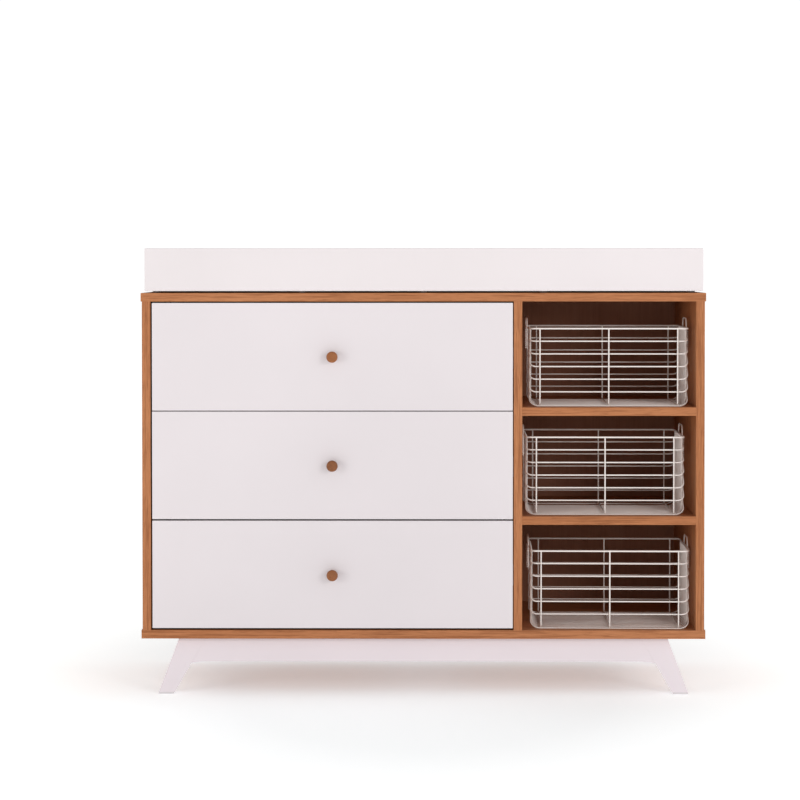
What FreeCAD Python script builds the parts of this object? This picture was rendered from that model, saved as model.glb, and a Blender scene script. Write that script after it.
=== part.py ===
import FreeCAD, Part
import math
import os

# A changing table: a dresser with three drawers and three open cubbies on a splayed base,
# a lift-off changing tray on top and a wire basket in each cubby.
# Millimetres, +X to the right seen from the front, +Y to the rear, +Z up.
# The origin is on the floor at the middle of the overall box, knobs included.

V = FreeCAD.Vector
UP = V(0, 0, 1)
RIGHT = V(1, 0, 0)
REARWARD = V(0, 1, 0)

# ---- driving dimensions -------------------------------------------------------------------

# carcass
WIDTH = 1200.0              # top and bottom panels
DEPTH = 480.0
BOARD = 18.0
BASE_HEIGHT = 121.5         # floor to the bottom panel
OPENING_HEIGHT = 700.0      # between the bottom and top panels
SIDE_INSET = 2.5            # side panels stand in from the ends of the top and bottom panels
CUBBY_WIDTH = 369.0
CUBBY_HEIGHTS = (225.0, 214.0, 225.0)       # clear, from the top
BACK_THICK = 5.0
BACK_RECESS = 3.0           # the back panel lies this deep in its rebate
REBATE_WIDTH = 9.0

# drawers
FRONT_GAPS = (3.0, 2.0, 3.5, 4.5)           # above, between and below the fronts, from the top
FRONT_HEIGHT = (OPENING_HEIGHT - sum(FRONT_GAPS)) / 3
FRONT_GAP_LEFT = 3.2
FRONT_GAP_RIGHT = 2.0
BOX_BOARD = 12.0
BOX_HEIGHT = 180.0
BOX_RISE = 20.0             # drawer box above the lower edge of its front
BOX_LENGTH = 430.0
BOX_BOTTOM = 5.0
BOX_BOTTOM_RISE = 8.0
GROOVE = 6.0
KNOB_RADIUS = 11.9
KNOB_LENGTH = 25.0
KNOB_STEM = ((8.0, 0.0), (7.0, 6.0), (8.5, 10.0))      # radius and distance from the drawer front
KNOB_HEAD = 11.0            # length of the knob's thick head
KNOB_RIM = 2.8              # radius of its eased rim

# telescopic runners: three nested channels, measured from the cabinet wall to the drawer side
RUNNER_SPACE = 12.7
RUNNER_LENGTH = 400.0
RUNNER_START = 12.0         # behind the drawer front
RUNNER_STEEL = 1.2
CABINET_MEMBER = (0.0, 9.5, 22.5)           # near edge, far edge, half height
MIDDLE_MEMBER = (3.0, 10.5, 17.0)
DRAWER_MEMBER = (5.5, RUNNER_SPACE, 12.0)

# tray
TRAY_WIDTH = 1186.0
TRAY_OFFSET = 1.25          # the tray sits this far to the right of centre
TRAY_HEIGHT = 91.0
TRAY_BOARD = 15.0
TRAY_BASE = 12.0
TRAY_SETBACK = 2.0          # from the front and rear edges of the top panel
PAD_HEIGHT = 4.0
PAD_RADIUS = 8.5
PAD_INSET = 24.0
PAD_COLUMNS = (-257.0, 0.0, 257.0)
TRAY_SCREW_RISES = (22.0, 69.0)

# base
BASE_SETBACK = 20.0         # legs and aprons stand in from the front and rear of the carcass
LEG_DEPTH = 32.0
LEG_TOP_OUTER = 521.0       # half widths
LEG_FOOT_OUTER = 567.0      # at the floor
LEG_FOOT_WIDTH = 34.0
CORNER_X = 495.5            # where the apron's curve meets the leg's inner edge
CORNER_Z = 66.2
APRON_DEPTH = 22.0
APRON_LOW = 69.8
APRON_STRAIGHT = 461.0      # half width of the straight lower edge
RAIL_WIDTH = 20.0
SIDE_RAIL_X = 495.0
RAIL_LOW = 74.0
GLIDE_HEIGHT = 4.0
GLIDE_INSET = 0.6           # the glides stand in from the edges of the feet
NAIL_RADIUS = 1.5
NAIL_LENGTH = 16.0

# screws: length, shank radius, head radius, head height
HEAD_HEIGHT = 3             # the head height's place in each of these
PANEL_SCREW = (50.0, 2.5, 4.5, 3.0)
BACK_SCREW = (16.0, 1.5, 3.5, 1.6)
BASE_SCREW = (32.0, 2.2, 4.5, 3.0)
KNOB_SCREW = (34.0, 2.0, 4.5, 2.5)
TRAY_SCREW = (45.0, 2.2, 4.2, 3.0)
PANEL_SCREW_INSET = 60.0    # from the front and rear edges of the panels
BACK_SCREW_COLUMNS = (-520.0, -330.0, -140.0, 60.0, 250.0, 520.0)
BACK_SCREW_ROWS = (220.0, 400.0, 580.0, 760.0)
BASE_SCREW_ROWS = (-120.0, 145.0)
BASE_SCREW_DEPTH = 20.0     # of the heads, below the bottom panel
COUNTERBORE_RADIUS = 5.0

# baskets
WIRE = 3.0
RIM_WIRE = 3.6
THIN_WIRE = 2.2             # the hoops, and the short wires across the handles
BASKET_LENGTH = 336.6       # between the centres of the outermost end wires
BASKET_DEPTH = 250.0        # between the centres of the front and rear upright wires
RIM_HEIGHT = 166.5          # centre of the rim wire
ROW_PITCH = 27.0
WIRE_BEND = 14.0            # of the hoops and the grid wires
FIRST_HOOP = -100.0
HOOP_PITCH = 19.0
HOOPS = 10
UPRIGHTS = (-146.4, 0.0, 146.4)
UPRIGHT_BEND = 3.0
ROW_SLOPES = (12.0, 22.0, 37.0, 43.0, 43.0)  # how steeply the grid wires' ends climb, from the top row
LOW_WIRE_SLOPE = 42.0       # and those of the wires along the floor's front and rear edges
LOW_WIRE_BEND = 20.0
RETURN_LENGTH = 45.0        # how far the ends reach along the basket's end
RIM_BEND = 12.0
HANDLE_WIDTH = 84.0
HANDLE_RISE = 20.0
HANDLE_DROP = 45.0
HANDLE_BEND = 16.0
CROSS_WIRES = 9
CROSS_PITCH = 5.0
BASKET_CLEARANCE = 0.3      # above the shelf
BASKET_PLACES = (           # centre X, setback of the front, turn about Z in degrees; from the top
    (397.2, 20.0, -0.8),
    (389.4, 23.0, -0.6),
    (400.8, 18.0, -1.2),
)

# ---- derived places -------------------------------------------------------------------------

FRONT_Y = (KNOB_LENGTH - DEPTH) / 2
BACK_Y = FRONT_Y + DEPTH
BACK_FACE = BACK_Y - BACK_RECESS            # outer face of the back panel
INSIDE_BACK = BACK_FACE - BACK_THICK
FLOOR_Z = BASE_HEIGHT + BOARD               # top of the bottom panel
CEILING_Z = FLOOR_Z + OPENING_HEIGHT        # underside of the top panel
TOP_Z = CEILING_Z + BOARD
SIDE_X = WIDTH / 2 - SIDE_INSET
INNER_X = SIDE_X - BOARD
DIVIDER_RIGHT = INNER_X - CUBBY_WIDTH
DIVIDER_LEFT = DIVIDER_RIGHT - BOARD
SHELF_TOPS = (
    CEILING_Z - CUBBY_HEIGHTS[0],
    CEILING_Z - CUBBY_HEIGHTS[0] - BOARD - CUBBY_HEIGHTS[1],
    FLOOR_Z,
)
FRONT_LEFT = -INNER_X + FRONT_GAP_LEFT
FRONT_RIGHT = DIVIDER_LEFT - FRONT_GAP_RIGHT
KNOB_X = (FRONT_LEFT + FRONT_RIGHT) / 2


def front_bottom(number):
    """Lower edge of a drawer front; 1 is the top drawer."""
    return CEILING_Z - sum(FRONT_GAPS[:number]) - FRONT_HEIGHT * number


# ---- helpers --------------------------------------------------------------------------------

def block(x, y, z):
    """A box from its (low, high) pairs."""
    return Part.makeBox(x[1] - x[0], y[1] - y[0], z[1] - z[0], V(x[0], y[0], z[0]))


def rod(radius, start, end):
    return Part.makeCylinder(radius, (end - start).Length, start, end - start)


def prism(outline, along):
    """A solid from the edges of a closed outline."""
    return Part.Face(Part.Wire(outline)).extrude(along)


def polygon(points, along):
    return Part.Face(Part.makePolygon(points + points[:1])).extrude(along)


def mirrored(shape):
    """The same shape on the other side of the middle plane."""
    return shape.mirror(V(0, 0, 0), RIGHT)


def screw(start, direction, size):
    """A screw whose head starts at start and points along direction."""
    length, shank, head, head_height = size
    neck = start + direction * head_height
    body = rod(shank, neck, start + direction * length)
    return rod(head, start, neck).fuse(body)


def save(name, *solids):
    shape = solids[0] if len(solids) == 1 else Part.makeCompound(list(solids))
    shape.exportStep(f"parts/{name}.step")


def wire(points, bends, diameter):
    """A round wire through the points, with an arc of the given radius at each inner one."""
    edges = []
    start = points[0]
    for corner, after, bend in zip(points[1:-1], points[2:], bends):
        before = (corner - start).normalize()
        leave = (after - corner).normalize()
        half_turn = before.getAngle(leave) / 2
        reach = bend * math.tan(half_turn)
        first = corner - before * reach
        last = corner + leave * reach
        inward = (leave - before).normalize()
        middle = corner + inward * (bend / math.cos(half_turn) - bend)
        edges.append(Part.LineSegment(start, first).toShape())
        edges.append(Part.Arc(first, middle, last).toShape())
        start = last
    edges.append(Part.LineSegment(start, points[-1]).toShape())
    section = Part.Wire(Part.Circle(points[0], points[1] - points[0], diameter / 2).toShape())
    return Part.Wire(edges).makePipeShell([section], True, False)


# ---- fasteners of the cabinet ---------------------------------------------------------------

def panel_screws():
    """Countersunk screws through the bottom panel into the side panels and the divider."""
    columns = (BOARD / 2 - SIDE_X, (DIVIDER_LEFT + DIVIDER_RIGHT) / 2, SIDE_X - BOARD / 2)
    rows = (FRONT_Y + PANEL_SCREW_INSET, 0, BACK_Y - PANEL_SCREW_INSET)
    return [screw(V(x, y, BASE_HEIGHT), UP, PANEL_SCREW) for x in columns for y in rows]


def back_screws():
    """Small pan-head screws round the edge of the back panel and along the divider."""
    edge_x = INNER_X + REBATE_WIDTH / 2
    edge_z = (FLOOR_Z - REBATE_WIDTH / 2, CEILING_Z + REBATE_WIDTH / 2)
    places = [(x, z) for x in BACK_SCREW_COLUMNS for z in edge_z]
    middle_x = (DIVIDER_LEFT + DIVIDER_RIGHT) / 2
    places += [(x, z) for x in (-edge_x, middle_x, edge_x) for z in BACK_SCREW_ROWS]
    face = BACK_FACE + BACK_SCREW[HEAD_HEIGHT]
    return [screw(V(x, face, z), -REARWARD, BACK_SCREW) for x, z in places]


def base_screws():
    """Screws up through the rails of the base; each sits in a deep counterbore."""
    head_z = BASE_HEIGHT - BASE_SCREW_DEPTH
    side_x = SIDE_RAIL_X + RAIL_WIDTH / 2
    places = [(x, y) for x in (-side_x, 0, side_x) for y in BASE_SCREW_ROWS]
    screws = [screw(V(x, y, head_z), UP, BASE_SCREW) for x, y in places]
    counterbores = [rod(COUNTERBORE_RADIUS, V(x, y, RAIL_LOW - 1), V(x, y, head_z)) for x, y in places]
    return screws, counterbores


PANEL_SCREWS = panel_screws()
BACK_SCREWS = back_screws()
BASE_SCREWS, COUNTERBORES = base_screws()


# ---- carcass --------------------------------------------------------------------------------

def back_rebate():
    """The space of the back panel and the recess behind it."""
    x = INNER_X + REBATE_WIDTH
    return block((-x, x), (INSIDE_BACK, BACK_Y + 1), (FLOOR_Z - REBATE_WIDTH, CEILING_Z + REBATE_WIDTH))


def carcass():
    across = (-WIDTH / 2, WIDTH / 2)
    deep = (FRONT_Y, BACK_Y)
    tall = (FLOOR_Z, CEILING_Z)
    rebate = back_rebate()
    top = block(across, deep, (CEILING_Z, TOP_Z)).cut([rebate] + BACK_SCREWS)
    drilled = [rebate] + BACK_SCREWS + PANEL_SCREWS
    bottom = block(across, deep, (BASE_HEIGHT, FLOOR_Z)).cut(drilled + BASE_SCREWS)
    left = block((-SIDE_X, -INNER_X), deep, tall).cut(drilled)
    right = block((INNER_X, SIDE_X), deep, tall).cut(drilled)
    divider = block((DIVIDER_LEFT, DIVIDER_RIGHT), (FRONT_Y, INSIDE_BACK), tall).cut(drilled)
    edge_x = INNER_X + REBATE_WIDTH
    back_height = (FLOOR_Z - REBATE_WIDTH, CEILING_Z + REBATE_WIDTH)
    back = block((-edge_x, edge_x), (INSIDE_BACK, BACK_FACE), back_height)
    save("top_panel", top)
    save("bottom_panel", bottom)
    save("left_side_panel", left)
    save("right_side_panel", right)
    save("divider_panel", divider)
    save("back_panel", back.cut(BACK_SCREWS))
    for name, surface in zip(("upper_shelf", "lower_shelf"), SHELF_TOPS):
        save(name, block((DIVIDER_RIGHT, INNER_X), (FRONT_Y, INSIDE_BACK), (surface - BOARD, surface)))
    save("cabinet_screws", *PANEL_SCREWS, *BACK_SCREWS, *BASE_SCREWS)


# ---- base -----------------------------------------------------------------------------------

def leg_outer_x(z):
    """Outer edge of the right leg, a straight line from its foot to its top."""
    return LEG_FOOT_OUTER + (LEG_TOP_OUTER - LEG_FOOT_OUTER) * z / BASE_HEIGHT


def leg_inner_x(z):
    """Inner edge of the right leg, a straight line through its foot and the apron's corner."""
    foot = LEG_FOOT_OUTER - LEG_FOOT_WIDTH
    return foot + (CORNER_X - foot) * z / CORNER_Z


def leg_slice(low, high, y, depth, inset=0.0):
    """The part of a right leg between two heights, standing in from its edges."""
    corners = (
        (leg_outer_x(high) - inset, high),
        (leg_outer_x(low) - inset, low),
        (leg_inner_x(low) + inset, low),
        (leg_inner_x(high) + inset, high),
    )
    return polygon([V(x, y + inset, z) for x, z in corners], REARWARD * (depth - 2 * inset))


def right_leg(y):
    """A flat tapered blade that leans outwards to its foot."""
    return leg_slice(GLIDE_HEIGHT, BASE_HEIGHT, y, LEG_DEPTH)


def apron(y):
    """A rail between two legs whose lower edge curves down into each leg."""
    run = CORNER_X - APRON_STRAIGHT
    drop = APRON_LOW - CORNER_Z
    bend = (run ** 2 + drop ** 2) / (2 * drop)
    half = math.asin(run / bend) / 2
    halfway = V(APRON_STRAIGHT + bend * math.sin(half), y, APRON_LOW - bend * (1 - math.cos(half)))
    top = V(leg_inner_x(BASE_HEIGHT), y, BASE_HEIGHT)
    corner = V(CORNER_X, y, CORNER_Z)
    straight = V(APRON_STRAIGHT, y, APRON_LOW)

    def other(point):
        return V(-point.x, point.y, point.z)

    outline = [
        Part.LineSegment(other(top), top).toShape(),
        Part.LineSegment(top, corner).toShape(),
        Part.Arc(corner, halfway, straight).toShape(),
        Part.LineSegment(straight, other(straight)).toShape(),
        Part.Arc(other(straight), other(halfway), other(corner)).toShape(),
        Part.LineSegment(other(corner), other(top)).toShape(),
    ]
    return prism(outline, REARWARD * APRON_DEPTH)


def foot_glides(leg_rows):
    """A pad of the foot's outline under each leg, held by its own nail."""
    glides = []
    for y in leg_rows:
        middle = V(LEG_FOOT_OUTER - LEG_FOOT_WIDTH / 2, y + LEG_DEPTH / 2, GLIDE_HEIGHT)
        pad = leg_slice(0, GLIDE_HEIGHT, y, LEG_DEPTH, GLIDE_INSET)
        nail = rod(NAIL_RADIUS, middle, middle + UP * NAIL_LENGTH)
        glide = pad.fuse(nail)
        glides += [glide, mirrored(glide)]
    return glides


def base():
    front_row = FRONT_Y + BASE_SETBACK
    rear_row = BACK_Y - BASE_SETBACK - LEG_DEPTH
    glides = foot_glides((front_row, rear_row))
    for place, y in (("front", front_row), ("rear", rear_row)):
        leg = right_leg(y)
        save(f"{place}_right_leg", leg.cut(glides))
        save(f"{place}_left_leg", mirrored(leg).cut(glides))
    front_apron_rear = front_row + APRON_DEPTH
    rear_apron_front = BACK_Y - BASE_SETBACK - APRON_DEPTH
    save("front_apron", apron(front_row))
    save("rear_apron", apron(rear_apron_front))
    fixings = BASE_SCREWS + COUNTERBORES
    tall = (RAIL_LOW, BASE_HEIGHT)
    side_rail = block((SIDE_RAIL_X, SIDE_RAIL_X + RAIL_WIDTH), (front_row + LEG_DEPTH, rear_row), tall)
    save("right_side_rail", side_rail.cut(fixings))
    save("left_side_rail", mirrored(side_rail).cut(fixings))
    middle = block((-RAIL_WIDTH / 2, RAIL_WIDTH / 2), (front_apron_rear, rear_apron_front), tall)
    save("middle_rail", middle.cut(fixings))
    save("foot_glides", *glides)


# ---- drawers --------------------------------------------------------------------------------

def channel(member, wall, sign, z, web_near):
    """One runner channel; sign points from the cabinet wall to the drawer."""
    near, far, half_height = member
    steel = RUNNER_STEEL
    along = (FRONT_Y + BOARD + RUNNER_START, FRONT_Y + BOARD + RUNNER_START + RUNNER_LENGTH)

    def span(a, b):
        return tuple(sorted((wall + sign * a, wall + sign * b)))

    outer = block(span(near, far), along, (z - half_height, z + half_height))
    hollow = span(near + steel, far + 1) if web_near else span(near - 1, far - steel)
    return outer.cut(block(hollow, along, (z - half_height + steel, z + half_height - steel)))


def runner_pair(member, number, web_near=True):
    z = front_bottom(number) + BOX_RISE + BOX_HEIGHT / 2
    sides = ((-INNER_X, 1), (DIVIDER_LEFT, -1))
    return [channel(member, wall, sign, z, web_near) for wall, sign in sides]


def knob(z):
    """A turned knob: a foot, a narrower neck and a thick face with an eased rim."""
    head = ((KNOB_RADIUS, KNOB_LENGTH - KNOB_HEAD), (KNOB_RADIUS, KNOB_LENGTH - KNOB_RIM))
    points = [V(KNOB_X + r, FRONT_Y - out, z) for r, out in ((0.0, 0.0),) + KNOB_STEM + head]
    rim = points[-1]
    rim_centre = rim - RIGHT * KNOB_RIM
    rim_middle = rim_centre + (RIGHT - REARWARD).normalize() * KNOB_RIM
    face = rim_centre - REARWARD * KNOB_RIM
    crown = V(KNOB_X, face.y, z)
    edges = [Part.LineSegment(a, b).toShape() for a, b in zip(points, points[1:])]
    edges.append(Part.Arc(rim, rim_middle, face).toShape())
    edges.append(Part.LineSegment(face, crown).toShape())
    edges.append(Part.LineSegment(crown, points[0]).toShape())
    return Part.Face(Part.Wire(edges)).revolve(V(KNOB_X, 0, z), REARWARD, 360)


def drawer(number):
    low = front_bottom(number)
    front_inner = FRONT_Y + BOARD
    middle_z = low + FRONT_HEIGHT / 2
    fixing = screw(V(KNOB_X, front_inner + KNOB_SCREW[HEAD_HEIGHT], middle_z), -REARWARD, KNOB_SCREW)
    front = block((FRONT_LEFT, FRONT_RIGHT), (FRONT_Y, front_inner), (low, low + FRONT_HEIGHT))

    outer = (-INNER_X + RUNNER_SPACE, DIVIDER_LEFT - RUNNER_SPACE)
    inner = (outer[0] + BOX_BOARD, outer[1] - BOX_BOARD)
    deep = (front_inner, front_inner + BOX_LENGTH)
    tall = (low + BOX_RISE, low + BOX_RISE + BOX_HEIGHT)
    bottom_z = tall[0] + BOX_BOTTOM_RISE
    rear_face = deep[1] - BOX_BOARD
    bottom = block((inner[0] - GROOVE, inner[1] + GROOVE), (deep[0], rear_face + GROOVE),
                   (bottom_z, bottom_z + BOX_BOTTOM))
    save(f"drawer_{number}_front", front.cut(fixing))
    save(f"drawer_{number}_left_side", block((outer[0], inner[0]), deep, tall).cut(bottom))
    save(f"drawer_{number}_right_side", block((inner[1], outer[1]), deep, tall).cut(bottom))
    save(f"drawer_{number}_rear", block(inner, (rear_face, deep[1]), tall).cut(bottom))
    save(f"drawer_{number}_bottom", bottom)
    save(f"drawer_{number}_knob", knob(middle_z).cut(fixing))
    save(f"drawer_{number}_knob_screw", fixing)
    save(f"drawer_{number}_runner_drawer_members", *runner_pair(DRAWER_MEMBER, number, web_near=False))
    save(f"drawer_{number}_runner_middle_members", *runner_pair(MIDDLE_MEMBER, number))


# ---- changing tray --------------------------------------------------------------------------

def tray():
    x = (TRAY_OFFSET - TRAY_WIDTH / 2, TRAY_OFFSET + TRAY_WIDTH / 2)
    y = (FRONT_Y + TRAY_SETBACK, BACK_Y - TRAY_SETBACK)
    z = (TOP_Z + PAD_HEIGHT, TOP_Z + PAD_HEIGHT + TRAY_HEIGHT)
    inner_x = (x[0] + TRAY_BOARD, x[1] - TRAY_BOARD)
    inner_y = (y[0] + TRAY_BOARD, y[1] - TRAY_BOARD)
    corner_x = (x[0] + TRAY_BOARD / 2, x[1] - TRAY_BOARD / 2)
    screws = [screw(V(screw_x, y[1], z[0] + rise), -REARWARD, TRAY_SCREW)
              for screw_x in corner_x for rise in TRAY_SCREW_RISES]
    save("tray_front_board", block(x, (y[0], inner_y[0]), z))
    save("tray_rear_board", block(x, (inner_y[1], y[1]), z).cut(screws))
    save("tray_left_board", block((x[0], inner_x[0]), inner_y, z).cut(screws))
    save("tray_right_board", block((inner_x[1], x[1]), inner_y, z).cut(screws))
    save("tray_base", block(inner_x, inner_y, (z[0], z[0] + TRAY_BASE)))
    save("tray_screws", *screws)
    pads = []
    for pad_x in PAD_COLUMNS + (x[0] + PAD_INSET, x[1] - PAD_INSET):
        for pad_y in (y[0] + PAD_INSET, y[1] - PAD_INSET):
            pads.append(rod(PAD_RADIUS, V(pad_x, pad_y, TOP_Z), V(pad_x, pad_y, z[0])))
    save("tray_pads", *pads)


# ---- wire baskets ---------------------------------------------------------------------------
# Each is made about its own middle, with its lowest wire on z = 0, and then put in its cubby.

TIP_X = BASKET_LENGTH / 2                   # the grid wires' ends, outside the hoops
HOOP_X = TIP_X - (WIRE + THIN_WIRE) / 2
UPRIGHT_Y = BASKET_DEPTH / 2
GRID_Y = UPRIGHT_Y - WIRE
LOW_Z = WIRE / 2                            # the low wires lie on the shelf
UPRIGHT_Z = LOW_Z + WIRE
HOOP_Z = UPRIGHT_Z - (WIRE + THIN_WIRE) / 2
RIM_X = HOOP_X + (THIN_WIRE + RIM_WIRE) / 2
HANDLE_X = RIM_X + (WIRE + RIM_WIRE) / 2


def hoop(y):
    """A side-to-side hoop: floor and both ends of the basket, up to the rim."""
    right = [V(HOOP_X, y, HOOP_Z), V(HOOP_X, y, RIM_HEIGHT)]
    left = [V(-point.x, y, point.z) for point in reversed(right)]
    return wire(left + right, (WIRE_BEND, WIRE_BEND), THIN_WIRE)


def upright(x):
    """A front-to-rear hoop, down outside the grid wires and across on top of the side-to-side hoops."""
    top = RIM_HEIGHT - RIM_WIRE / 2
    rear = [V(x, UPRIGHT_Y, UPRIGHT_Z), V(x, UPRIGHT_Y, top)]
    front = [V(x, -UPRIGHT_Y, point.z) for point in reversed(rear)]
    return wire(front + rear, (UPRIGHT_BEND, UPRIGHT_BEND), WIRE)


def grid_wire(z, slope, side, bend):
    """A wire across the front (side -1) or rear (side 1); its ends turn and climb along the basket's ends."""
    y = side * GRID_Y
    angle = math.radians(slope)
    right = [V(TIP_X, y, z), V(TIP_X, y - side * RETURN_LENGTH, z + RETURN_LENGTH * math.tan(angle))]
    left = [V(-point.x, point.y, point.z) for point in reversed(right)]
    return wire(left + right, (bend, bend), WIRE)


def grid(side):
    """All the wires across the front or the rear."""
    rows = [grid_wire(RIM_HEIGHT - row * ROW_PITCH, slope, side, WIRE_BEND)
            for row, slope in enumerate(ROW_SLOPES, 1)]
    return rows + [grid_wire(LOW_Z, LOW_WIRE_SLOPE, side, LOW_WIRE_BEND)]


def rim():
    """A closed rectangle of thicker wire with rounded corners, as two halves of one solid."""
    corners = ((0, -UPRIGHT_Y), (RIM_X, -UPRIGHT_Y), (RIM_X, UPRIGHT_Y), (0, UPRIGHT_Y))
    half = wire([V(x, y, RIM_HEIGHT) for x, y in corners], (RIM_BEND, RIM_BEND), RIM_WIRE)
    return half.fuse(mirrored(half)).removeSplitter()


def handle(side):
    """A loop that stands above the rim, with its legs outside the basket and short wires across them."""
    x = side * HANDLE_X
    half = HANDLE_WIDTH / 2
    foot = RIM_HEIGHT - HANDLE_DROP
    crest = RIM_HEIGHT + HANDLE_RISE
    loop = wire([V(x, -half, foot), V(x, -half, crest), V(x, half, crest), V(x, half, foot)],
                (HANDLE_BEND, HANDLE_BEND), WIRE)
    cross_x = side * (HANDLE_X + (WIRE + THIN_WIRE) / 2)
    reach = half + WIRE
    first = RIM_HEIGHT - RIM_WIRE
    levels = [first - step * CROSS_PITCH for step in range(CROSS_WIRES)]
    cross = [rod(THIN_WIRE / 2, V(cross_x, -reach, z), V(cross_x, reach, z)) for z in levels]
    return [loop] + cross


def basket(number, place, surface):
    middle_x, setback, turn = place
    hoops = [hoop(FIRST_HOOP + step * HOOP_PITCH) for step in range(HOOPS)]
    uprights = [upright(x) for x in UPRIGHTS]
    groups = {"rim_and_handles": [rim()] + handle(-1) + handle(1),
              "wires": hoops + uprights + grid(-1) + grid(1)}
    middle = V(middle_x, FRONT_Y + setback + WIRE / 2 + UPRIGHT_Y, surface + BASKET_CLEARANCE)
    for name, solids in groups.items():
        placed = []
        for solid in solids:
            solid.rotate(V(0, 0, 0), UP, turn)
            solid.translate(middle)
            placed.append(solid)
        save(f"basket_{number}_{name}", *placed)


# ---- make every node ------------------------------------------------------------------------

os.makedirs("parts", exist_ok=True)
carcass()
base()
for drawer_number in (1, 2, 3):
    drawer(drawer_number)
cabinet_members = [member for number in (1, 2, 3) for member in runner_pair(CABINET_MEMBER, number)]
save("runner_cabinet_members", *cabinet_members)
tray()
for basket_number, (basket_place, shelf_top) in enumerate(zip(BASKET_PLACES, SHELF_TOPS), 1):
    basket(basket_number, basket_place, shelf_top)
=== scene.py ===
import bpy
import bmesh
import math
from mathutils import Matrix, Vector


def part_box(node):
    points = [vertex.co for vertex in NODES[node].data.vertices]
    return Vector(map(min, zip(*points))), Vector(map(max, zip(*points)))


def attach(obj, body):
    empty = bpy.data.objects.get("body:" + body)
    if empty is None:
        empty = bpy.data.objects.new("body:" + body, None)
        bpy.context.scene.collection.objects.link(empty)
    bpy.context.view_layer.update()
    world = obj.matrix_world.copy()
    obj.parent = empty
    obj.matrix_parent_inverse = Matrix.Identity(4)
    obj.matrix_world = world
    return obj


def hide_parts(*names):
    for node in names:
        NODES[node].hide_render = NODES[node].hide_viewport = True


# A changing table in a white studio: the frame's nodes get materials and eased edges, and finer
# pieces stand for the knobs, the bumpers and the screws. Metres, as in the frame, unless marked mm.

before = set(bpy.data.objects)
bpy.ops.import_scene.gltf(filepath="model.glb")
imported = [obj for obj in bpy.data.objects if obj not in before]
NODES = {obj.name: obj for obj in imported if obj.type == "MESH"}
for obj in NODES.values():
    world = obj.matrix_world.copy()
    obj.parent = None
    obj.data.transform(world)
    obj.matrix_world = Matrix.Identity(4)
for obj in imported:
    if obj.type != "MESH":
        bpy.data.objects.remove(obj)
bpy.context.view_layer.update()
MM = 0.001
FRONT_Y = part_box("top_panel")[0].y          # the front edges of the carcass
DRAWERS = (1, 2, 3)


def knob_middle(number):
    """The middle of a knob's foot, on the drawer front."""
    low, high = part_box(f"drawer_{number}_knob")
    return Vector(((low.x + high.x) / 2, high.y, (low.z + high.z) / 2))


# ---- camera -----------------------------------------------------------------------------------

CAMERA_DISTANCE = 5.423         # from the front edges of the carcass
CAMERA_SIDE = -0.0014
CAMERA_HEIGHT = 0.9245
CAMERA_LENS = 115.03
CAMERA_DOWN = math.radians(1.396)
CAMERA_TURN = math.radians(0.503)
CAMERA_ROLL = math.radians(-0.024)
CAMERA_SHIFT = -0.0954
CAMERA_REACH = 60
SENSOR_WIDTH = 36


def make_camera():
    camera = bpy.data.objects.new("camera", bpy.data.cameras.new("camera"))
    bpy.context.scene.collection.objects.link(camera)
    turn = (Matrix.Rotation(CAMERA_TURN, 4, "Z") @ Matrix.Rotation(math.pi / 2 - CAMERA_DOWN, 4, "X")
            @ Matrix.Rotation(CAMERA_ROLL, 4, "Z"))
    place = (CAMERA_SIDE, FRONT_Y - CAMERA_DISTANCE, CAMERA_HEIGHT)
    camera.matrix_world = Matrix.Translation(place) @ turn
    camera.data.lens = CAMERA_LENS
    camera.data.sensor_width = SENSOR_WIDTH
    camera.data.shift_y = CAMERA_SHIFT
    camera.data.clip_end = CAMERA_REACH
    bpy.context.scene.camera = camera


# ---- materials --------------------------------------------------------------------------------

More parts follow.
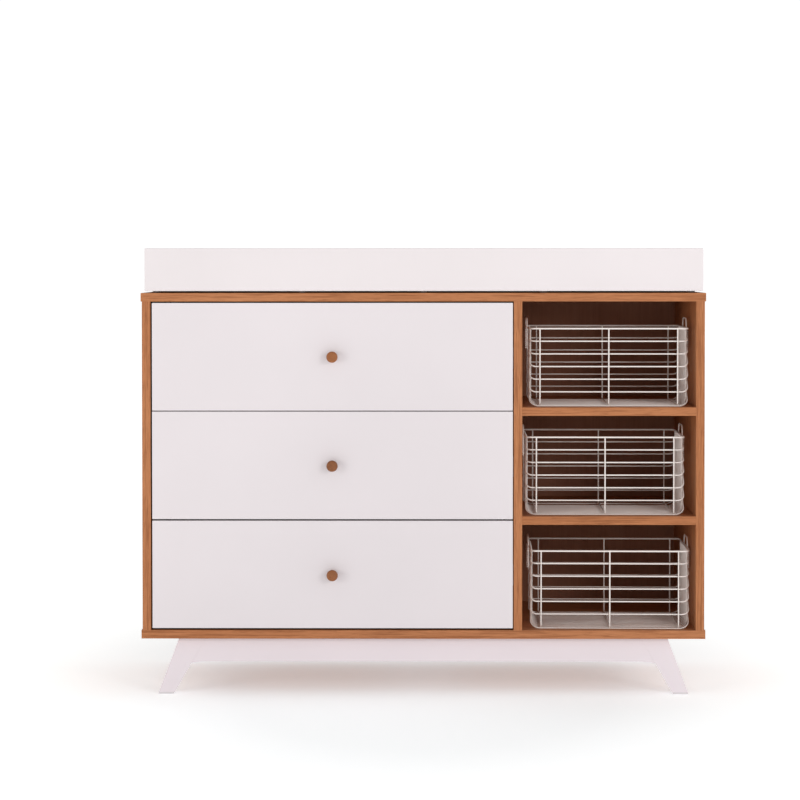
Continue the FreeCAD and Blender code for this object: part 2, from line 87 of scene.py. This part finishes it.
class Paint:
    """Builds one node material around a Principled shader."""

    def __init__(self, name):
        self.material = bpy.data.materials.new(name)
        self.material.use_nodes = True
        self.nodes = self.material.node_tree.nodes
        self.links = self.material.node_tree.links
        self.shader = self.nodes["Principled BSDF"]
        self.place = self.nodes.new("ShaderNodeTexCoord").outputs["Object"]

    def node(self, kind, links=None, **values):
        node = self.nodes.new("ShaderNode" + kind)
        for key, value in values.items():
            setattr(node, key, value)
        for key, value in (links or {}).items():
            if isinstance(value, bpy.types.NodeSocket):
                self.links.new(value, node.inputs[key])
            else:
                node.inputs[key].default_value = value
        return node

    def stretched(self, scale):
        """Object coordinates scaled by a number for each axis."""
        return self.node("Mapping", {"Vector": self.place, "Scale": scale}).outputs["Vector"]

    def noise(self, vector, scale=1.0, detail=2.0, roughness=0.5, distortion=0.0):
        values = {"Vector": vector, "Scale": scale, "Detail": detail, "Roughness": roughness,
                  "Distortion": distortion}
        return self.node("TexNoise", values).outputs["Fac"]

    def between(self, value, low, high, to_low=0.0, to_high=1.0):
        """The value's range low to high, spread over to_low to to_high."""
        links = {"Value": value, "From Min": low, "From Max": high, "To Min": to_low, "To Max": to_high}
        return self.node("MapRange", links, clamp=True).outputs["Result"]

    def mix(self, factor, first, second, blend="MIX"):
        node = self.node("Mix", data_type="RGBA", blend_type=blend)
        sockets = {0: factor, 6: first, 7: second}
        for index, value in sockets.items():
            if isinstance(value, bpy.types.NodeSocket):
                self.links.new(value, node.inputs[index])
            elif index:
                node.inputs[index].default_value = (*value, 1)
            else:
                node.inputs[index].default_value = value
        return node.outputs[2]

    def math(self, operation, a, b):
        return self.node("Math", {0: a, 1: b}, operation=operation).outputs["Value"]

    def times(self, a, b):
        return self.math("MULTIPLY", a, b)

    def set(self, **values):
        """Shader inputs; underscores stand for spaces."""
        for key, value in values.items():
            socket = self.shader.inputs[key.replace("_", " ")]
            if isinstance(value, bpy.types.NodeSocket):
                self.links.new(value, socket)
            elif hasattr(value, "__len__"):
                socket.default_value = (*value, 1)
            else:
                socket.default_value = value

    def bump(self, height, distance, strength=1.0):
        node = self.node("Bump", {"Height": height, "Distance": distance, "Strength": strength})
        self.links.new(node.outputs["Normal"], self.shader.inputs["Normal"])


def grain_scale(along, along_scale, across_scale):
    """A scale for each axis that draws a noise out along one of them."""
    return [along_scale if axis == along else across_scale for axis in "XYZ"]


def scaled(colour, share):
    """The colour made darker, or lighter where share is over 1."""
    return [channel * share for channel in colour]


def wood(name, along, dark, mid, light, roughness=0.45, pore_depth=0.5, streak_depth=0.55):
    """Straight-grained wood-look board whose grain runs along one axis."""
    paint = Paint(name)
    # noises drawn out along the grain, each finer than the one before
    drift = paint.noise(paint.stretched(grain_scale(along, 0.9, 7)), detail=3)
    bands = paint.noise(paint.stretched(grain_scale(along, 1.6, 110)), detail=3, distortion=0.6)
    lines = paint.noise(paint.stretched(grain_scale(along, 7, 260)), detail=4, roughness=0.65,
                        distortion=0.3)
    fine = paint.noise(paint.stretched(grain_scale(along, 16, 620)), detail=2, roughness=0.6)
    pores = paint.noise(paint.stretched(grain_scale(along, 45, 1500)), detail=1)
    tone = paint.math("ADD", paint.times(bands, 0.5), paint.times(lines, 0.5))
    colour = paint.mix(paint.between(tone, 0.36, 0.62), dark, mid)
    pale = paint.math("ADD", drift, paint.times(fine, 0.6))
    colour = paint.mix(paint.between(pale, 0.62, 1.05), colour, light)
    streak = paint.between(lines, 0.50, 0.40)
    colour = paint.mix(paint.times(streak, streak_depth), colour, scaled(dark, 0.72))
    pore = paint.between(pores, 0.55, 0.70)
    colour = paint.mix(paint.times(pore, pore_depth), colour, scaled(dark, 0.60))
    paint.set(Base_Color=colour, Specular_IOR_Level=0.09,
              Roughness=paint.between(fine, 0.3, 0.7, roughness - 0.06, roughness + 0.08))
    paint.bump(paint.math("SUBTRACT", paint.times(fine, 0.4), pore), 0.0001)
    return paint.material


def turned_wood(name, pith, dark, mid, light):
    """Wood turned across its growth rings, which run round an axis through pith."""
    paint = Paint(name)
    away = paint.node("VectorMath", {0: paint.place, 1: pith}, operation="SUBTRACT")
    flat = paint.node("VectorMath", {0: away.outputs["Vector"], 1: (1.0, 0.12, 1.0)}, operation="MULTIPLY")
    length = paint.node("VectorMath", {0: flat.outputs["Vector"]}, operation="LENGTH").outputs["Value"]
    wobble = paint.noise(paint.place, scale=90, detail=2)
    ring = paint.math("ADD", paint.times(length, 2600.0), paint.times(wobble, 5.0))
    ring = paint.between(paint.math("SINE", ring, 0.0), -1.0, 1.0)
    fibre = paint.noise(paint.stretched(grain_scale("Y", 60, 1900)), detail=3, roughness=0.6)
    cloud = paint.noise(paint.place, scale=130, detail=2)
    colour = paint.mix(paint.between(paint.math("ADD", paint.times(ring, 0.4), cloud), 0.45, 0.95), dark, mid)
    colour = paint.mix(paint.between(fibre, 0.48, 0.72), colour, light)
    colour = paint.mix(paint.between(fibre, 0.46, 0.36), colour, scaled(dark, 0.6))
    paint.set(Base_Color=colour, Specular_IOR_Level=0.4,
              Roughness=paint.between(fibre, 0.3, 0.7, 0.34, 0.46))
    paint.bump(fibre, 0.00004)
    return paint.material


def lacquer(name, colour, roughness, peel_scale=420.0, peel=0.00003):
    """Sprayed paint: an even colour with a faint cloud, a fine orange peel and small gloss changes."""
    paint = Paint(name)
    cloud = paint.noise(paint.place, scale=2.3, detail=3)
    gloss = paint.noise(paint.place, scale=14, detail=4)
    paint.set(Base_Color=paint.mix(paint.between(cloud, 0.35, 0.65), scaled(colour, 0.965), colour),
              Roughness=paint.between(gloss, 0.3, 0.7, roughness - 0.04, roughness + 0.05),
              Specular_IOR_Level=0.42)
    paint.bump(paint.noise(paint.place, scale=peel_scale, detail=2), peel)
    return paint.material


def steel(name, colour, roughness, along):
    """Zinc-plated rolled steel with faint rolling lines."""
    paint = Paint(name)
    lines = paint.noise(paint.stretched(grain_scale(along, 30, 2600)), detail=2)
    spangle = paint.noise(paint.place, scale=90, detail=3)
    paint.set(Base_Color=paint.mix(spangle, scaled(colour, 0.82), colour), Metallic=1.0,
              Roughness=paint.between(lines, 0.3, 0.7, roughness - 0.06, roughness + 0.08))
    paint.bump(lines, 0.00001)
    return paint.material


def plastic(name, colour, roughness):
    """Moulded plastic or rubber with a fine speckle."""
    paint = Paint(name)
    grain = paint.noise(paint.place, scale=900, detail=2)
    paint.set(Base_Color=paint.mix(grain, scaled(colour, 0.94), colour), Roughness=roughness)
    paint.bump(grain, 0.00002)
    return paint.material


# dark, middle and light tone of each wood
WOOD_TONES = ((0.355, 0.124, 0.048), (0.45, 0.175, 0.073), (0.545, 0.233, 0.105))
BACK_TONES = ((0.31, 0.138, 0.082), (0.34, 0.155, 0.095), (0.37, 0.175, 0.11))
KNOB_TONES = ((0.22, 0.066, 0.015), (0.34, 0.118, 0.034), (0.44, 0.170, 0.058))
KNOB_SHADES = (1.05, 0.78, 0.92)            # a factor on the wood tones of each knob, darker or lighter
PITH_OFFSET = Vector((-0.004, 0, -0.003))   # from the knob's middle to that of its growth rings


def knob_wood(number):
    """The wood of one knob."""
    tones = [scaled(tone, KNOB_SHADES[number - 1]) for tone in KNOB_TONES]
    return turned_wood(f"knob_{number}_turned_wood", knob_middle(number) + PITH_OFFSET, *tones)


def make_materials():
    return {
        "wood_x": wood("wood_laminate_across", "X", *WOOD_TONES),
        "wood_z": wood("wood_laminate_upright", "Z", *WOOD_TONES),
        "back": wood("back_sheet_grain", "Z", *BACK_TONES, roughness=0.6, pore_depth=0.1, streak_depth=0.12),
        "tray_lacquer": lacquer("tray_lacquer_satin", (0.81, 0.755, 0.765), 0.36),
        "front_lacquer": lacquer("front_lacquer_satin", (0.775, 0.722, 0.742), 0.36),
        "white_paint": lacquer("white_paint_satin", (0.82, 0.747, 0.782), 0.42, peel_scale=260, peel=0.00005),
        "drawer_board": lacquer("drawer_board_white", (0.78, 0.76, 0.73), 0.55, peel_scale=700),
        "runner_steel": steel("runner_zinc_steel", (0.72, 0.73, 0.74), 0.32, "Y"),
        "ball_steel": steel("ball_polished_steel", (0.78, 0.78, 0.78), 0.14, "Y"),
        "screw_steel": steel("screw_zinc_steel", (0.66, 0.66, 0.64), 0.35, "Z"),
        "coated_wire": lacquer("coated_wire_white", (0.86, 0.80, 0.76), 0.38, peel_scale=1500, peel=0.00002),
        "glide": plastic("glide_nylon", (0.70, 0.66, 0.67), 0.5),
        "pad": plastic("pad_rubber", (0.30, 0.29, 0.28), 0.6),
    }


def dress(material, *names):
    for name in names:
        node = NODES[name]
        node.data.materials.clear()
        node.data.materials.append(material)


WELD_DISTANCE = 0.01 * MM
FLAT_ANGLE = math.radians(0.5)      # faces that meet at less than this become one
EDGE_ANGLE = math.radians(40)       # edges sharper than this are eased
EASE_SEGMENTS = 3
NORMAL_WEIGHT = 80
BOARD_EASE = 0.7 * MM
FRONT_EASE = 0.9 * MM
TRAY_EASE = 1.2 * MM
BASE_EASE = 0.5 * MM


def ease(names, width):
    """Rounds the sharp edges of flat-sided CAD nodes with modifiers."""
    for name in names:
        node = NODES[name]
        weld = node.modifiers.new("weld", "WELD")
        weld.merge_threshold = WELD_DISTANCE
        flat = node.modifiers.new("flat", "DECIMATE")
        flat.decimate_type = "DISSOLVE"
        flat.angle_limit = FLAT_ANGLE
        bevel = node.modifiers.new("eased_edges", "BEVEL")
        bevel.width = width
        bevel.segments = EASE_SEGMENTS
        bevel.limit_method = "ANGLE"
        bevel.angle_limit = EDGE_ANGLE
        normals = node.modifiers.new("normals", "WEIGHTED_NORMAL")
        normals.weight = NORMAL_WEIGHT


# ---- turned pieces and screws -----------------------------------------------------------------

KNOB_PROFILE = (                # radius and distance from the drawer front, mm
    (0.0, 0.0), (7.6, 0.0), (8.0, 0.4), (7.9, 1.4), (7.3, 3.0), (7.0, 5.0), (7.05, 7.0), (7.5, 9.2),
    (8.6, 11.4), (10.3, 13.0), (11.4, 14.0), (11.9, 15.4), (11.9, 17.5), (11.9, 21.6), (11.65, 23.0),
    (11.0, 24.1), (9.9, 24.75), (8.4, 24.95), (4.0, 25.0), (0.0, 25.0),
)
BUMPER_PROFILE = (              # from the tray's underside to the dome that stands on the top panel
    (0.0, 0.0), (8.3, 0.0), (8.5, 0.3), (8.4, 1.2), (7.9, 2.3), (7.0, 3.1), (5.6, 3.7), (3.0, 3.97),
    (0.0, 4.0),
)
KNOB_TURNS = 72                 # points round a knob, a bumper, a screw and a ball
BUMPER_TURNS = 36
SCREW_TURNS = 48
BALL_TURNS = 14
BALL_RINGS = 8
HEAD_HEIGHT = 0.6               # of a screw, as a share of the head's radius
HEAD_DOME = 0.45                # how far the head bulges, as a share of its height
HEAD_RINGS = (0.0, 0.1, 0.18, 0.26, 0.34, 0.42, 0.5, 0.58, 0.66, 0.76, 0.88, 0.96, 1.0)
RECESS_ARM = 0.17               # half width of the cross recess, as a share of the head's radius
RECESS_REACH = 0.62
RECESS_DEPTH = 0.75             # as a share of the head's height
BALL_PITCH = 15.0 * MM
BALLS_IN_ROW = 12
BALL_CLEARANCE = 0.15 * MM
INNER_ROW_START = 10 * MM       # from the front end of the middle channel
OUTER_ROW_START = 190 * MM      # from its rear end
STEEL = 1.2 * MM                # thickness of the runners' channels


def solids(name):
    """The separate solids of a CAD node, each as a list of its points."""
    mesh = bmesh.new()
    mesh.from_mesh(NODES[name].data)
    bmesh.ops.remove_doubles(mesh, verts=mesh.verts, dist=WELD_DISTANCE)
    waiting = set(mesh.verts)
    found = []
    while waiting:
        group = []
        reached = [waiting.pop()]
        while reached:
            vert = reached.pop()
            group.append(vert.co.copy())
            for edge in vert.link_edges:
                other = edge.other_vert(vert)
                if other in waiting:
                    waiting.remove(other)
                    reached.append(other)
        found.append(group)
    mesh.free()
    return sorted(found, key=lambda points: tuple(round(value, 4) for value in span(points)[0]))


def span(points):
    """The lowest and highest corners of some points."""
    low = Vector([min(point[axis] for point in points) for axis in range(3)])
    high = Vector([max(point[axis] for point in points) for axis in range(3)])
    return low, high


def spun(mesh, profile, place, axis, turns):
    """Adds a profile turned about an axis to a bmesh; its middle points become single ones."""
    aim = Vector(axis).to_track_quat("Z", "Y").to_matrix()
    rings = []
    for radius, along in profile:
        count = turns if radius > 0 else 1
        ring = []
        for step in range(count):
            angle = 2 * math.pi * step / turns
            point = Vector((radius * math.cos(angle), radius * math.sin(angle), along)) * MM
            ring.append(mesh.verts.new(Vector(place) + aim @ point))
        rings.append(ring)
    join_rings(mesh, rings, turns)


def join_rings(mesh, rings, turns):
    """Faces between rings of points; a ring of one point is a pole."""
    for near, far in zip(rings, rings[1:]):
        for step in range(turns):
            after = (step + 1) % turns
            corners = [near[step % len(near)], near[after % len(near)],
                       far[after % len(far)], far[step % len(far)]]
            mesh.faces.new(list(dict.fromkeys(corners)))


def piece(name, mesh, material, body, slot, *nodes):
    """A finished object from a bmesh, riding on a body and standing for the nodes."""
    bmesh.ops.recalc_face_normals(mesh, faces=mesh.faces)
    data = bpy.data.meshes.new(name)
    mesh.to_mesh(data)
    mesh.free()
    for face in data.polygons:
        face.use_smooth = True
    data.materials.append(material)
    made = bpy.data.objects.new(name, data)
    bpy.context.scene.collection.objects.link(made)
    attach(made, body)
    if nodes:
        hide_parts(*nodes)


def make_knobs():
    """The turned knobs, in place of the plain ones."""
    for number in DRAWERS:
        mesh = bmesh.new()
        spun(mesh, KNOB_PROFILE, knob_middle(number), (0, -1, 0), KNOB_TURNS)
        piece(f"drawer_{number}_turned_knob", mesh, knob_wood(number), f"drawer_{number}", "knob_wood",
              f"drawer_{number}_knob")


def make_bumpers():
    """Domed rubber bumpers in place of the plain pads under the tray."""
    mesh = bmesh.new()
    for points in solids("tray_pads"):
        low, high = span(points)
        middle = (low + high) / 2
        spun(mesh, BUMPER_PROFILE, (middle.x, middle.y, high.z), (0, 0, -1), BUMPER_TURNS)
    piece("tray_rubber_bumpers", mesh, MATERIALS["pad"], "tray", "pad_rubber", "tray_pads")


def recess(x, y):
    """How deep the cross recess is at a place on a screw head of radius 1, from 0 to 1; its walls slope."""
    deepest = 0.0
    for across, along in ((abs(x), abs(y)), (abs(y), abs(x))):
        side = min(1.0, max(0.0, (RECESS_ARM * 1.3 - across) / (RECESS_ARM * 0.5)))
        end = min(1.0, max(0.0, (RECESS_REACH - along) / (RECESS_REACH * 0.35)))
        deepest = max(deepest, side * end)
    return deepest


def cross_head(mesh, points):
    """Adds a cross-head screw to a bmesh, in the place of the plain one with these points."""
    low, high = span(points)
    size = high - low
    axis = max(range(3), key=lambda index: size[index])
    across = (axis + 1) % 3
    middle = (low + high) / 2

    def radius_at(height):
        """The screw's radius at its lower or upper end."""
        ring = [point for point in points if abs(point[axis] - height) < 0.1 * MM]
        return max(abs(point[across] - middle[across]) for point in ring)

    low_radius = radius_at(low[axis])
    high_radius = radius_at(high[axis])
    head = max(low_radius, high_radius)
    shank = min(low_radius, high_radius)
    inward = 1 if low_radius > high_radius else -1
    start = middle.copy()
    start[axis] = low[axis] if inward == 1 else high[axis]
    direction = Vector([inward if index == axis else 0 for index in range(3)])
    aim = direction.to_track_quat("Z", "Y").to_matrix()
    height = HEAD_HEIGHT * head
    rings = []
    for share in HEAD_RINGS:
        ring = []
        for step in range(SCREW_TURNS if share else 1):
            angle = 2 * math.pi * step / SCREW_TURNS
            x = share * math.cos(angle)
            y = share * math.sin(angle)
            depth = height * (HEAD_DOME * share ** 2.5 + RECESS_DEPTH * recess(x, y))
            ring.append(mesh.verts.new(start + aim @ Vector((head * x, head * y, depth))))
        rings.append(ring)
    length = size[axis]
    neck = [(head, height), (shank * 1.15, height * 1.4), (shank, height * 2)]
    point_of_screw = [(shank, length * 0.88), (0.0, length)]
    for radius, along in neck + point_of_screw:
        ring = []
        for step in range(SCREW_TURNS if radius else 1):
            angle = 2 * math.pi * step / SCREW_TURNS
            point = Vector((radius * math.cos(angle), radius * math.sin(angle), along))
            ring.append(mesh.verts.new(start + aim @ point))
        rings.append(ring)
    join_rings(mesh, rings, SCREW_TURNS)


def make_screws():
    """Cross-head screws in place of the plain ones."""
    groups = [("cabinet_cross_head_screws", "cabinet", "cabinet_screws"),
              ("tray_cross_head_screws", "tray", "tray_screws")]
    groups += [(f"drawer_{number}_cross_head_screw", f"drawer_{number}", f"drawer_{number}_knob_screw")
               for number in DRAWERS]
    for name, body, node in groups:
        mesh = bmesh.new()
        for points in solids(node):
            cross_head(mesh, points)
        piece(name, mesh, MATERIALS["screw_steel"], body, "screw_steel", node)


def ball(mesh, place, radius):
    """Adds a bearing ball to a bmesh; its radius is in mm."""
    angles = [math.pi * step / BALL_RINGS for step in range(1, BALL_RINGS)]
    rings = [(radius * math.sin(angle), -radius * math.cos(angle)) for angle in angles]
    spun(mesh, [(0.0, -radius)] + rings + [(0.0, radius)], place, (1, 0, 0), BALL_TURNS)


def ball_gap(inner, outer, start_y):
    """Where a row of balls runs: between the tops of two nested channels, given by their boxes."""
    near = inner[1].z
    far = outer[1].z - STEEL
    x = (max(inner[0].x, outer[0].x) + min(inner[1].x, outer[1].x)) / 2
    return x, (near + far) / 2, (far - near) / 2 - BALL_CLEARANCE, start_y


def make_runner_balls():
    """Rows of balls above and below each runner's nested channels."""
    walls = [span(points) for points in solids("runner_cabinet_members")]
    for number in DRAWERS:
        mesh = bmesh.new()
        middles = [span(points) for points in solids(f"drawer_{number}_runner_middle_members")]
        drawers = [span(points) for points in solids(f"drawer_{number}_runner_drawer_members")]
        for middle, drawer in zip(middles, drawers):
            low, high = middle
            centre_z = (low.z + high.z) / 2
            wall = min(walls, key=lambda box: abs(box[0].z + box[1].z - 2 * centre_z) + abs(box[0].x - low.x))
            gaps = (ball_gap(drawer, middle, low.y + INNER_ROW_START),
                    ball_gap(middle, wall, high.y - OUTER_ROW_START))
            for x, row_z, radius, start_y in gaps:
                for side in (-1, 1):
                    z = centre_z + side * (row_z - centre_z)
                    for step in range(BALLS_IN_ROW):
                        ball(mesh, (x, start_y + (step + 0.5) * BALL_PITCH, z), radius / MM)
        piece(f"drawer_{number}_runner_balls", mesh, MATERIALS["ball_steel"],
              f"drawer_{number}_runner_middles", "runner_steel")


# ---- stage ------------------------------------------------------------------------------------

FLOOR_REACH = 30.0
FLOOR_GLOW_PAINTED_SHADOW = (0.315, 0.34, 0.35)       # the backdrop's own light under the table, lower and cooler than away from it: a painted shadow
FLOOR_GLOW_FAR = (0.582, 0.60, 0.60)        # and away from it
PAINTED_SHADOW_OVAL = (1.0, 0.5, 0.0)                # the painted shadow reaches twice as far along Y as along X
PAINTED_SHADOW_FADE = (0.42, 0.95)                   # half widths where the painted shadow starts to fade and is gone
LIGHTS = (                                  # name, place, width and height, power, colour
    ("soft_left", (-2.5, -2.6, 0.8), (1.2, 0.8), 16, (1.0, 0.985, 0.97)),
    ("soft_right", (2.9, -2.4, 1.7), (1.8, 1.2), 9, (0.98, 0.97, 1.0)),
    ("soft_front_right", (2.5, -4.1, 1.5), (1.0, 1.0), 35, (1.0, 0.98, 0.98)),
)
LIGHT_TARGET = (0, FRONT_Y, 0.45)
WORLD_COLOUR = (1.0, 0.985, 0.975, 1)
WORLD_STRENGTH = 0.53
SEEN_STRENGTH = 1.05                        # of the white background that the camera sees


def make_floor():
    """A wide pale floor that glows a little, less so under the table, where the weaker glow is a painted
    shadow.
    """
    mesh = bpy.data.meshes.new("floor")
    signs = ((-1, -1), (1, -1), (1, 1), (-1, 1))
    mesh.from_pydata([(x * FLOOR_REACH, y * FLOOR_REACH, 0) for x, y in signs], [], [(0, 1, 2, 3)])
    floor = bpy.data.objects.new("floor", mesh)
    bpy.context.scene.collection.objects.link(floor)
    paint = Paint("floor_glow_painted_shadow")
    oval = paint.stretched(PAINTED_SHADOW_OVAL)
    away = paint.node("VectorMath", {0: oval}, operation="LENGTH").outputs["Value"]
    # the glow is weaker and cooler under the table: a painted shadow
    glow_with_painted_shadow = paint.mix(paint.between(away, *PAINTED_SHADOW_FADE), FLOOR_GLOW_PAINTED_SHADOW, FLOOR_GLOW_FAR)
    paint.set(Base_Color=(0.92, 0.92, 0.92), Roughness=0.9, Specular_IOR_Level=0.0,
              Emission_Color=glow_with_painted_shadow, Emission_Strength=1.0)
    mesh.materials.append(paint.material)


def area_light(name, place, size, power, colour):
    light = bpy.data.lights.new(name, "AREA")
    light.shape = "RECTANGLE"
    light.size, light.size_y = size
    light.energy = power
    light.color = colour
    lamp = bpy.data.objects.new(name, light)
    bpy.context.scene.collection.objects.link(lamp)
    aim = (Vector(LIGHT_TARGET) - Vector(place)).to_track_quat("-Z", "Y")
    lamp.matrix_world = Matrix.Translation(place) @ aim.to_matrix().to_4x4()


def make_lights():
    """Soft lamps and an even sky; the camera sees plain white behind the table."""
    world = bpy.data.worlds.new("studio")
    bpy.context.scene.world = world
    world.use_nodes = True
    nodes = world.node_tree.nodes
    links = world.node_tree.links
    light = nodes["Background"]
    light.inputs["Color"].default_value = WORLD_COLOUR
    light.inputs["Strength"].default_value = WORLD_STRENGTH
    seen = nodes.new("ShaderNodeBackground")
    seen.inputs["Color"].default_value = (1, 1, 1, 1)
    seen.inputs["Strength"].default_value = SEEN_STRENGTH
    choose = nodes.new("ShaderNodeMixShader")
    links.new(nodes.new("ShaderNodeLightPath").outputs["Is Camera Ray"], choose.inputs[0])
    links.new(light.outputs[0], choose.inputs[1])
    links.new(seen.outputs[0], choose.inputs[2])
    links.new(choose.outputs[0], nodes["World Output"].inputs["Surface"])
    for lamp in LIGHTS:
        area_light(*lamp)


# ---- put it together --------------------------------------------------------------------------

bpy.context.scene.view_settings.view_transform = "Standard"
MATERIALS = make_materials()
make_camera()
make_floor()
make_lights()

across = ("top_panel", "bottom_panel", "upper_shelf", "lower_shelf")
upright = ("left_side_panel", "right_side_panel", "divider_panel")
dress(MATERIALS["wood_x"], *across)
dress(MATERIALS["wood_z"], *upright)
dress(MATERIALS["back"], "back_panel")
legs = [f"{place}_{side}_leg" for place in ("front", "rear") for side in ("left", "right")]
aprons = ("front_apron", "rear_apron")
rails = ("left_side_rail", "right_side_rail", "middle_rail")
dress(MATERIALS["white_paint"], *legs, *aprons, *rails)
tray_boards = [f"tray_{part}" for part in ("front_board", "rear_board", "left_board", "right_board", "base")]
fronts = [f"drawer_{number}_front" for number in DRAWERS]
dress(MATERIALS["tray_lacquer"], *tray_boards)
dress(MATERIALS["front_lacquer"], *fronts)
dress(MATERIALS["glide"], "foot_glides")
dress(MATERIALS["runner_steel"], "runner_cabinet_members")
for number in DRAWERS:
    for part in ("left_side", "right_side", "rear", "bottom"):
        dress(MATERIALS["drawer_board"], f"drawer_{number}_{part}")
    for part in ("drawer_members", "middle_members"):
        dress(MATERIALS["runner_steel"], f"drawer_{number}_runner_{part}")
    dress(MATERIALS["coated_wire"], f"basket_{number}_rim_and_handles", f"basket_{number}_wires")
ease(across + upright, BOARD_EASE)
ease(fronts, FRONT_EASE)
ease(tray_boards, TRAY_EASE)
ease(legs, BASE_EASE)
ease(aprons, BASE_EASE)
make_knobs()
make_bumpers()
make_screws()
make_runner_balls()
